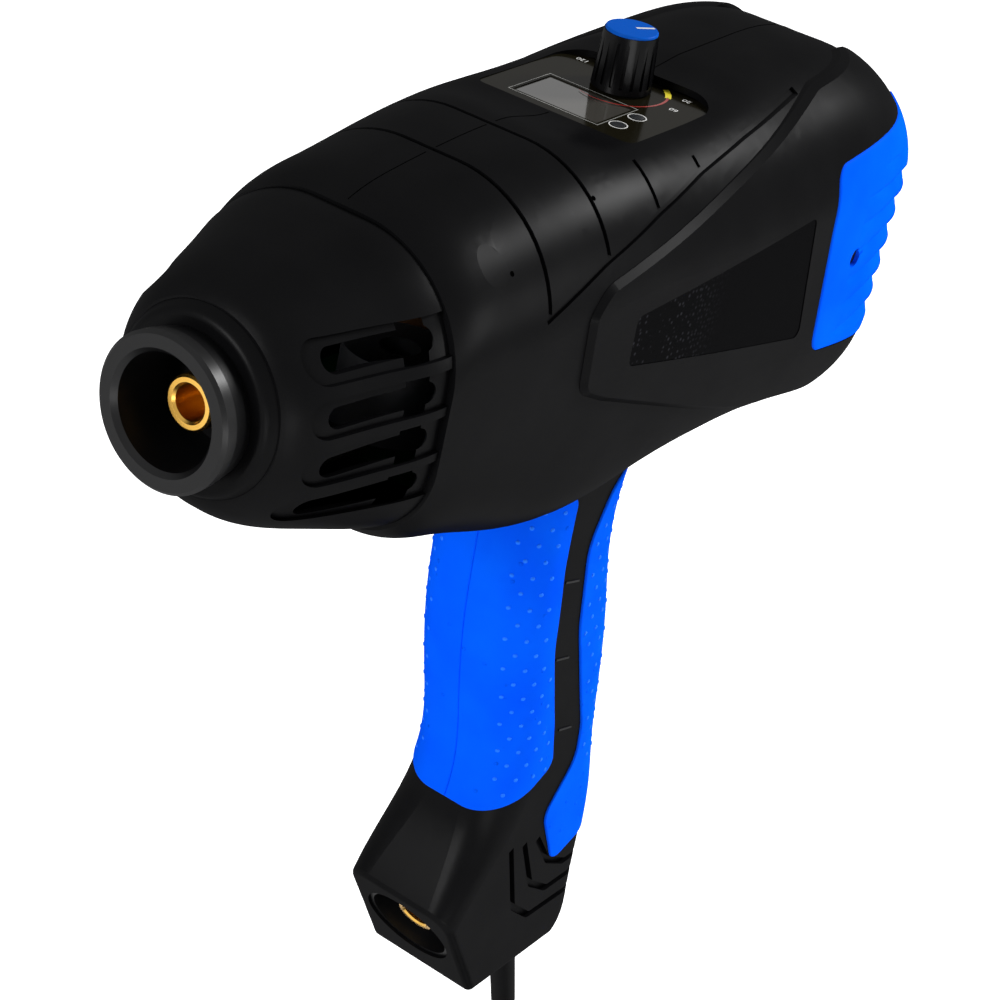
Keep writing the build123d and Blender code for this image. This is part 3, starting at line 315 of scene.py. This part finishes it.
def skin_of(node):
    """A node's surface for finding where a straight probe meets it."""
    piece = NODES[node]
    corners = [piece.matrix_world @ v.co for v in piece.data.vertices]
    return BVHTree.FromPolygons(corners, [tuple(p.vertices) for p in piece.data.polygons])


def seat(spot, normal):
    """A frame that sits on a surface, with its Z along the normal."""
    placed = normal.to_track_quat("Z", "Y").to_matrix().to_4x4()
    placed.translation = spot
    return placed


def strip(shape, rings):
    """Skin between equal rings of corners, with a face over each end."""
    for ring, following in zip(rings, rings[1:]):
        for k, corner in enumerate(ring):
            n = (k + 1) % len(ring)
            shape.faces.new((corner, ring[n], following[n], following[k]))
    shape.faces.new(rings[0])
    shape.faces.new(rings[-1])
    bmesh.ops.recalc_face_normals(shape, faces=shape.faces)


# ---- finger scallops over the rear corners of the bumpers ----------------------------------------
# Path of a scallop's root, (left, back) mm: in from the side, round the corner, across the rear face.
SCALLOP_ROOT = ((49.2, 56.0), (47.4, 68.0), (45.3, 80.0), (42.4, 91.6), (39.0, 98.7), (35.6, 99.5),
                (28.0, 99.6))
# Half of a scallop's section, (up, out) mm: a sharp root between two rounded fingers.
SCALLOP_SIDE = ((0.0, 0.0), (0.5, 0.12), (1.3, 0.6), (2.4, 1.2), (3.6, 1.62), (4.1, 1.75), (4.1, 7.0))
SCALLOP_LOW = 105.5
SCALLOP_PITCH = 8.6
SCALLOPS = 7
BUMPER_CREASE = math.radians(32)


def scallop_cutter(hand):
    """Seven blades that follow the bumper's corner on one side."""
    section = [(-up, out) for up, out in SCALLOP_SIDE[:0:-1]] + list(SCALLOP_SIDE)
    shape = bmesh.new()
    for step in range(SCALLOPS):
        height = SCALLOP_LOW + SCALLOP_PITCH * step
        rings = []
        for number, (left, back) in enumerate(SCALLOP_ROOT):
            before = SCALLOP_ROOT[max(number - 1, 0)]
            after = SCALLOP_ROOT[min(number + 1, len(SCALLOP_ROOT) - 1)]
            outward = Vector((after[1] - before[1], before[0] - after[0])).normalized()
            rings.append([shape.verts.new((hand * (left + outward.x * out) * MM,
                                           (back + outward.y * out) * MM, (height + up) * MM))
                          for up, out in section])
        strip(shape, rings)
    made = bpy.data.meshes.new("scallop_cutter")
    shape.to_mesh(made)
    shape.free()
    return bpy.data.objects.new("scallop_cutter", made)


def scalloped_bumper(side, hand):
    """The moulded bumper with its finger scallops, in place of the plain one."""
    placed = bpy.data.objects.new(f"{side}_scalloped_bumper", own_copy(f"{side}_bumper"))
    bpy.context.scene.collection.objects.link(placed)
    cutter = scallop_cutter(hand)
    bpy.context.scene.collection.objects.link(cutter)
    cut = placed.modifiers.new("scallops", "BOOLEAN")
    cut.operation = "DIFFERENCE"
    cut.solver = "EXACT"
    cut.object = cutter
    bpy.context.view_layer.update()
    seen = placed.evaluated_get(bpy.context.evaluated_depsgraph_get())
    finished = bpy.data.meshes.new_from_object(seen)
    placed.modifiers.clear()
    placed.data = finished
    bpy.data.objects.remove(cutter)
    finished.materials.clear()
    finished.materials.append(rubber_blue)
    finished.shade_smooth()
    finished.set_sharp_from_angle(angle=BUMPER_CREASE)
    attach(placed, "housing")
    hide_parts(f"{side}_bumper")


for side, hand in SIDES:
    scalloped_bumper(side, hand)


# ---- deck of the housing, sunk flush with the control panel ---------------------------------------
PANEL_TILT = math.radians(3.2)
PANEL_BACK, PANEL_UP = -22.8, 175.6    # the panel's middle
DECK_LIP = 0.45            # housing left standing above the panel
DECK_KNEE = 0.7            # softness of the bend where the deck meets the shoulders
KNEES_BELOW = 6            # this many knees under the deck, the shell is left alone
KNEES_ABOVE = 30           # this many over it, the bend is straight
# How much of the deck is sunk, from station to station: none far ahead, a third behind the panel.
DECK_STAGES = ((-70, -47, 0, 1), (-47, -20, 1, 1), (-20, 2, 1, 0.35), (2, 18, 0.35, 0))
DECK_REACH = (-75 * MM, 22 * MM)
DECK_FINE_OVER = 170 * MM  # the mesh is refined over this height, so that it can bend
DECK_MOVES_OVER = 168 * MM
DECK_EDGE = 3.5 * MM       # longest edge left in the refined mesh
DECK_PASSES = 4
DECK_CREASE = math.radians(28)


def deck_share(back):
    """How much of the deck is sunk at a station."""
    for start, end, low, high in DECK_STAGES:
        if start <= back < end:
            share = (back - start) / (end - start)
            return low + (high - low) * share * share * (3 - 2 * share)
    return 0.0


def sunk(place):
    """A point of the shell, in mm, after the deck is sunk."""
    share = deck_share(place.y)
    plane = PANEL_UP + (place.y - PANEL_BACK) * math.tan(PANEL_TILT) + DECK_LIP
    over = (place.z - plane) / DECK_KNEE
    if not share or over < -KNEES_BELOW:
        return place
    drop = DECK_KNEE * (over if over > KNEES_ABOVE else math.log(1 + math.exp(over)))
    return Vector((place.x, place.y, place.z - share * drop))


def on_deck(corner):
    return corner.co.z > DECK_FINE_OVER and DECK_REACH[0] < corner.co.y < DECK_REACH[1]


def sunk_deck(side):
    """The housing half with its deck sunk, in place of the plain one."""
    made = own_copy(f"{side}_housing")
    shape = bmesh.new()
    shape.from_mesh(made)
    for _ in range(DECK_PASSES):
        long_edges = [e for e in shape.edges if e.calc_length() > DECK_EDGE
                      and any(on_deck(v) for v in e.verts)]
        if not long_edges:
            break
        bmesh.ops.subdivide_edges(shape, edges=long_edges, cuts=1)
        bmesh.ops.triangulate(shape, faces=[f for f in shape.faces if len(f.verts) > 3])
    for corner in shape.verts:
        if corner.co.z > DECK_MOVES_OVER:
            corner.co = sunk(corner.co / MM) * MM
    shape.to_mesh(made)
    shape.free()
    made.shade_smooth()
    made.set_sharp_from_angle(angle=DECK_CREASE)
    made.materials.clear()
    made.materials.append(housing_black)
    placed = fitted(f"{side}_housing_shell", made)
    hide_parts(f"{side}_housing")


for side, _ in SIDES:
    sunk_deck(side)


# ---- dots on the grip rubber, bars across the black web ------------------------------------------
# The grip's middle line, (up, back) mm.
GRIP_MIDDLES = ((65.0, -10.6), (37.0, -9.2), (13.0, -4.2), (-18.0, 4.1), (-45.0, 10.1), (-63.0, 10.5))
DOT_R = 0.75
DOT_PROUD = 0.3
DOT_ROWS = 5.6             # mm between rows
DOT_TURN = 13.0            # degrees between dots in a row
DOT_TOP = 58.0             # height of the highest row
DOT_SPAN = 112.0           # height that the rows cover
DOT_MARGIN = 2.0           # rubber that a dot needs on each side
DOT_STEEPEST = 3.2         # and how far that rubber may lie from the dot's middle
PROBE_START = 60.0         # mm from the middle, well outside the tool
FRONT_DOTS = (28, 118)     # degrees round from the nose that the dots cover
REAR_DOTS = (70, 172)


def grip_middle(up):
    """How far back the grip's middle is at a height."""
    for (up_a, back_a), (up_b, back_b) in zip(GRIP_MIDDLES, GRIP_MIDDLES[1:]):
        if up >= up_b:
            return back_a + (back_b - back_a) * (up_a - up) / (up_a - up_b)
    return GRIP_MIDDLES[-1][1]


def rubber_dots(name, node, turns, hand):
    """Small domes in staggered rows where the rubber is more than a dot's width from its border."""
    skin = skin_of(node)
    shape = bmesh.new()
    first, last = turns
    size = Matrix.Diagonal((DOT_R * MM, DOT_R * MM, DOT_PROUD * MM, 1))
    border = ((0, 0), (DOT_MARGIN, 0), (-DOT_MARGIN, 0), (0, DOT_MARGIN), (0, -DOT_MARGIN))
    for row in range(int(DOT_SPAN / DOT_ROWS)):
        up = DOT_TOP - row * DOT_ROWS
        middle = Vector((0, grip_middle(up), up))
        turn = first + (DOT_TURN / 2 if row % 2 else 0)
        while turn <= last:
            outward = Vector((hand * math.sin(math.radians(turn)), -math.cos(math.radians(turn)), 0))
            aside = Vector((-outward.y, outward.x, 0))
            found = [skin.ray_cast((middle + outward * PROBE_START + aside * across
                                    + Vector((0, 0, high))) * MM, -outward) for across, high in border]
            spot, normal = found[0][:2]
            if all(hit[0] is not None and (hit[0] - spot).length < DOT_STEEPEST * MM for hit in found):
                if normal.dot(outward) < 0:
                    normal = -normal
                bmesh.ops.create_uvsphere(shape, u_segments=10, v_segments=6, radius=1,
                                          matrix=seat(spot, normal) @ size)
            turn += DOT_TURN
    for face in shape.faces:
        face.smooth = True
    # The domes are drawn in the lighter blue of the painted highlight.
    fitted(name, skinned(name, shape, dot_highlight_blue))


for side, hand in SIDES:
    rubber_dots(f"{side}_front_grip_dots", f"{side}_front_grip", FRONT_DOTS, hand)
    rubber_dots(f"{side}_rear_grip_dots", f"{side}_rear_grip", REAR_DOTS, hand)

BAR_SPOTS = ((-13.3, 31.2), (-7.0, 1.6), (7.9, -30.6))   # (back, up)
BAR_LONG = 7.6
BAR_RISE = -1.8            # a bar's rear end is this much lower
BAR_STEPS = 6
BAR_SECTION = ((-0.3, -0.6), (0.3, -0.35), (0.3, 0.35), (-0.3, 0.6))     # (proud, up)


def web_bar(name, side, hand, back, up):
    """A low moulded bar across the black web between the two rubbers."""
    skin = skin_of(f"{side}_housing")
    shape = bmesh.new()
    rings = []
    for k in range(BAR_STEPS + 1):
        share = k / BAR_STEPS - 0.5
        start = Vector((hand * PROBE_START, back + share * BAR_LONG, up + share * BAR_RISE))
        spot = skin.ray_cast(start * MM, Vector((-hand, 0, 0)))[0]
        rings.append([shape.verts.new(spot + Vector((hand * proud, 0, high)) * MM)
                      for proud, high in BAR_SECTION])
    strip(shape, rings)
    fitted(name, skinned(name, shape, bar_black))


for side, hand in SIDES:
    for number, (back, up) in enumerate(BAR_SPOTS):
        web_bar(f"{side}_web_bar_{number}", side, hand, back, up)


# ---- the halves' joint along the top, and two ejector marks on the left shoulder --------------------
JOINT_RADIUS = 0.16        # of the dark line
JOINT_SINK = 0.06
JOINT_STEP = 2
PROBE_ASIDE = 0.05         # the probe comes down just beside the joint
PROBE_TOP = 230
EJECTOR_SIZE = (0.7, 0.7, 0.12)
SHOULDER_OUT = Vector((0.72, 0, 0.69))
SHOULDER_PROBE = 30


def joint_line(name, start, end):
    """A fine dark line where the two halves meet, from one station to another, back in mm."""
    skin = skin_of("left_housing")
    curve = bpy.data.curves.new(name, "CURVE")
    curve.dimensions = "3D"
    spline = curve.splines.new("POLY")
    steps = int((end - start) / JOINT_STEP)
    spline.points.add(steps)
    for k, control in enumerate(spline.points):
        back = start + (end - start) * k / steps
        spot = skin.ray_cast(Vector((PROBE_ASIDE, back, PROBE_TOP)) * MM, Vector((0, 0, -1)))[0] / MM
        low = sunk(spot)
        control.co = (0, low.y * MM, (low.z - JOINT_SINK) * MM, 1)
    curve.bevel_depth = JOINT_RADIUS * MM
    curve.bevel_resolution = 1
    curve.materials.append(joint_black)
    fitted(name, curve)


joint_line("joint_ahead_of_panel", -128, -46.5)
joint_line("joint_behind_panel", 3, 95)


def ejector_mark(name, left, back, up):
    """A small round mark left by the mould."""
    start = Vector((left, back, up)) + SHOULDER_OUT * SHOULDER_PROBE
    spot, normal, _, _ = skin_of("left_housing").ray_cast(start * MM, -SHOULDER_OUT)
    shape = bmesh.new()
    size = Matrix.Diagonal((*(part * MM for part in EJECTOR_SIZE), 1))
    bmesh.ops.create_uvsphere(shape, u_segments=16, v_segments=8, radius=1, matrix=seat(spot, normal) @ size)
    fitted(name, skinned(name, shape, joint_black))


ejector_mark("ejector_mark_front", 38.9, -108.0, 159.6)
ejector_mark("ejector_mark_rear", 34.7, -72.2, 169.8)


# ---- printed marks on the panel and the knob -----------------------------------------------------
PANEL_MIDDLE = Vector((0, PANEL_BACK, PANEL_UP))
ACROSS = Vector((1, 0, 0))
BACKWARD = Vector((0, math.cos(PANEL_TILT), math.sin(PANEL_TILT)))
UPWARD = Vector((0, -math.sin(PANEL_TILT), math.cos(PANEL_TILT)))
KNOB_MIDDLE = (0, 10.6)    # (left, back) of the panel's middle
KNOB_TOP = 17.0
INK = 0.04                 # thickness of a printed mark
INK_LIFT = 0.01
SCALE_R = 13.2
WINDOW_MIDDLE = (-2.5, -8.6)
WINDOW_SIZE = (28.6, 19.2)
WINDOW_LINE = 0.22
LENSES = ((15, -13.0), (15, -3.9))
LENS_RING = (2.3, 2.62)
POINTER = ((-0.45, 1.2), (0.45, 1.2), (0.45, 6.6), (-0.45, 6.6))
POINTER_TURN = math.radians(56) - math.pi / 2
NUMBERS = (("20", (16.2, 19.2)), ("60", (17.6, 10.2)), ("120", (-18.0, 18.6)))
NUMBER_SIZE = 2.6


def printed(name, outlines, finish, middle, lift=INK_LIFT, body="housing"):
    """Flat shapes on the panel's plane, (left, back) mm from a middle, as thin closed solids."""
    shape = bmesh.new()
    for outline in outlines:
        loop = [shape.verts.new((PANEL_MIDDLE + ACROSS * (x + middle[0]) + BACKWARD * (y + middle[1])
                                 + UPWARD * lift) * MM) for x, y in outline]
        face = shape.faces.new(loop)
        face.normal_update()
        if face.normal.dot(UPWARD) < 0:
            face.normal_flip()
        raised = bmesh.ops.extrude_face_region(shape, geom=[face])["geom"]
        bmesh.ops.translate(shape, verts=[v for v in raised if isinstance(v, bmesh.types.BMVert)],
                            vec=UPWARD * INK * MM)
    bmesh.ops.recalc_face_normals(shape, faces=shape.faces)
    fitted(name, skinned(name, shape, finish), body)


def band(start, end, inside, outside, steps):
    """An arc-shaped band between two angles in degrees. Its radii run from the first to the second."""
    outer, inner = [], []
    for k in range(steps + 1):
        turn = math.radians(start + (end - start) * k / steps)
        for edge, (first, last) in ((outer, outside), (inner, inside)):
            radius = first + (last - first) * k / steps
            edge.append((radius * math.cos(turn), radius * math.sin(turn)))
    return outer + inner[::-1]


def frame_bars(width, height, line):
    """Four bars that outline a rectangle."""
    w, h = width / 2, height / 2
    return [[(-w - line, -h - line), (w + line, -h - line), (w + line, -h), (-w - line, -h)],
            [(-w - line, h), (w + line, h), (w + line, h + line), (-w - line, h + line)],
            [(-w - line, -h), (-w, -h), (-w, h), (-w - line, h)],
            [(w, -h), (w + line, -h), (w + line, h), (w, h)]]


def number_mark(name, text, middle):
    """A printed number on the panel."""
    letters = bpy.data.curves.new(name, "FONT")
    letters.body = text
    letters.size = NUMBER_SIZE * MM
    letters.extrude = INK / 2 * MM
    letters.align_x = letters.align_y = "CENTER"
    letters.materials.append(print_white)
    place = Matrix((-ACROSS, -BACKWARD, UPWARD)).transposed().to_4x4()
    place.translation = (PANEL_MIDDLE + ACROSS * middle[0] + BACKWARD * middle[1] + UPWARD * INK / 2) * MM
    fitted(name, letters, place=place)


printed("scale_high", [band(26, -115, (SCALE_R - 0.4, SCALE_R - 0.1), (SCALE_R + 0.35, SCALE_R + 0.1), 40)],
        print_red, KNOB_MIDDLE)
printed("scale_low", [band(52, 24, (SCALE_R - 0.9,) * 2, (SCALE_R + 0.8,) * 2, 8)], print_yellow, KNOB_MIDDLE)
printed("window_line", frame_bars(*WINDOW_SIZE, WINDOW_LINE), print_grey, WINDOW_MIDDLE)
for number, middle in enumerate(LENSES):
    printed(f"lens_ring_{number}", [band(0, 359, (LENS_RING[0],) * 2, (LENS_RING[1],) * 2, 40)],
            print_white, middle)
turned = [(x * math.cos(POINTER_TURN) - y * math.sin(POINTER_TURN),
           x * math.sin(POINTER_TURN) + y * math.cos(POINTER_TURN)) for x, y in POINTER]
printed("knob_pointer", [turned], print_white, KNOB_MIDDLE, KNOB_TOP + INK_LIFT, "knob")
for text, middle in NUMBERS:
    number_mark(f"scale_number_{text}", text, middle)


# ---- mains cord ------------------------------------------------------------------------------
CORD_D = 7.5
FLOOR_Z = -260.0
COIL_MIDDLE = (83.0, 15.0)
COIL_R = 44.0
TURN_POINTS = 24           # points in each turn of the coil
# Where each turn lies in the coil, in cord diameters: (across, layer).
SLOTS = ((0.5, 2.5), (-0.5, 2.5), (-0.5, 1.5), (-0.5, 0.5), (0.5, 0.5), (0.5, 1.5))
CORD_EXIT = Vector((0, 34, -124))
CORD_LEAN = math.radians(20)
TAIL_LEAN = math.radians(6.3)
OUT = Vector((0, math.sin(CORD_LEAN), -math.cos(CORD_LEAN)))
ASIDE = Vector((0, -math.cos(CORD_LEAN), -math.sin(CORD_LEAN)))
TAIL_OUT = Vector((-math.cos(TAIL_LEAN), 0, math.sin(TAIL_LEAN)))


def coil_points(first, last):
    """Turns clockwise from above, one for each slot, easing from slot to slot."""
    ease = TURN_POINTS // 4
    found = []
    for step in range(1, round((first - last) / 360 * TURN_POINTS) + 1):
        turn, part = divmod(step, TURN_POINTS)
        here = SLOTS[min(turn, len(SLOTS) - 1)]
        there = SLOTS[min(turn + 1, len(SLOTS) - 1)]
        share = max(0.0, (part - TURN_POINTS + ease) / ease)
        across, layer = (a + (b - a) * share for a, b in zip(here, there))
        angle = math.radians(first - 360 * step / TURN_POINTS)
        radius = (COIL_R + across * CORD_D) / math.cos(math.pi / TURN_POINTS)
        found.append(Vector((COIL_MIDDLE[0] + radius * math.cos(angle),
                             COIL_MIDDLE[1] + radius * math.sin(angle), FLOOR_Z + layer * CORD_D)))
    return found


def cord_tube(name, points, diameter, finish):
    curve = bpy.data.curves.new(name, "CURVE")
    curve.dimensions = "3D"
    spline = curve.splines.new("NURBS")
    spline.points.add(len(points) - 1)
    for control, place in zip(spline.points, points):
        control.co = (*(place * MM), 1)
    spline.order_u = 3
    spline.use_endpoint_u = True
    spline.resolution_u = 8
    curve.bevel_depth = diameter / 2 * MM
    curve.bevel_resolution = 5
    curve.use_fill_caps = True
    curve.materials.append(finish)
    return fitted(name, curve)


# From inside the sleeve, out and down, on to the coil, round it, and along the tail into the plug.
landing = Vector((COIL_MIDDLE[0], COIL_MIDDLE[1] + COIL_R + CORD_D / 2, FLOOR_Z + 2.5 * CORD_D))
tail_start = Vector((COIL_MIDDLE[0], COIL_MIDDLE[1] - COIL_R - CORD_D / 2 + 0.5,
                     FLOOR_Z + 1.5 * CORD_D - 0.4))
route = [CORD_EXIT - OUT * 18, CORD_EXIT + OUT * 22 + ASIDE * 0.6, CORD_EXIT + OUT * 76,
         landing - Vector((36, 0, 0)), landing]
route += coil_points(90, -90 - 5 * 360)
route += [tail_start + TAIL_OUT * 17, tail_start + TAIL_OUT * 34.5]

cord = cord_tube("cord", route, CORD_D, cord_rubber)
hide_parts("mains_cord", "cord_coil", "cord_tail")


# ---- floor, light and background ---------------------------------------------------------------
FLOOR_GAP = 1.05           # mm from the cord's lowest line to the floor
FLOOR_HALF = 6             # metres
WHITE = (1, 1, 1, 1)
GLOW_NEAR, GLOW_FAR = 0.62, 1.0        # strength beside the tool and far from it
GLOW_FROM, GLOW_TO = 0.4, 1.2          # metres out, where it starts and stops rising
# Name, azimuth, elevation, metres away, metres across, watts.
LAMPS = (("front", -10, 22, 1.5, (0.5, 0.5), 13),
         ("side", 118, 14, 1.5, (0.2, 0.5), 6.5),
         ("rear", 148, 42, 1.5, (0.32, 0.32), 23),
         ("low", 45, -7, 1.3, (0.6, 0.25), 3))
AROUND = 0.12              # strength of the light that comes from all round


def background_rays(tree):
    """One for the rays that show the background: to the camera, or mirrored or refracted."""
    paths = add(tree, "LightPath")
    found = paths.outputs["Is Camera Ray"]
    for other in ("Is Glossy Ray", "Is Transmission Ray"):
        found = add(tree, "Math", {0: found, 1: paths.outputs[other]}, operation="MAXIMUM").outputs[0]
    return found


def floor():
    """White paper that keeps shadows near the tool and is plain white far from it."""
    shape = bmesh.new()
    bmesh.ops.create_grid(shape, x_segments=1, y_segments=1, size=FLOOR_HALF)
    paper = surface("floor_paper", "FFFFFF", 0.9, Specular_IOR_Level=0.0)
    tree = paper.node_tree
    lit = tree.nodes["Principled BSDF"].outputs["BSDF"]
    place = add(tree, "TexCoord").outputs["Object"]
    away = add(tree, "VectorMath", {0: place}, operation="LENGTH").outputs["Value"]
    rise = add(tree, "MapRange", {"Value": away, "From Min": GLOW_FROM, "From Max": GLOW_TO,
                                  "To Min": GLOW_NEAR, "To Max": GLOW_FAR}).outputs["Result"]
    glow = add(tree, "Emission", {"Color": WHITE, "Strength": rise})
    both = add(tree, "AddShader", {0: lit, 1: glow.outputs[0]})
    shown = add(tree, "MixShader", {0: background_rays(tree), 1: lit, 2: both.outputs[0]})
    tree.links.new(shown.outputs[0], tree.nodes["Material Output"].inputs["Surface"])
    placed = bpy.data.objects.new("floor", skinned("floor", shape, paper))
    placed.location.z = (FLOOR_Z - FLOOR_GAP) * MM
    bpy.context.scene.collection.objects.link(placed)


def lamp(name, azimuth, elevation, distance, size, power):
    light = bpy.data.lights.new(name, "AREA")
    light.shape = "RECTANGLE"
    light.size, light.size_y = size
    light.energy = power
    back = direction(azimuth, elevation)
    placed = bpy.data.objects.new(name, light)
    placed.location = back * distance
    placed.rotation_euler = back.to_track_quat("Z", "Y").to_euler()
    bpy.context.scene.collection.objects.link(placed)


def studio():
    """Soft light from all round, and a white background for the rays that show it."""
    world = bpy.data.worlds.new("studio")
    bpy.context.scene.world = world
    world.use_nodes = True
    tree = world.node_tree
    tree.nodes.clear()
    around = add(tree, "Background", {"Color": WHITE, "Strength": AROUND})
    behind = add(tree, "Background", {"Color": WHITE, "Strength": 1.0})
    choice = add(tree, "MixShader", {0: background_rays(tree), 1: around.outputs[0],
                                     2: behind.outputs[0]})
    add(tree, "OutputWorld", {"Surface": choice.outputs[0]})


floor()
for row in LAMPS:
    lamp(*row)
studio()
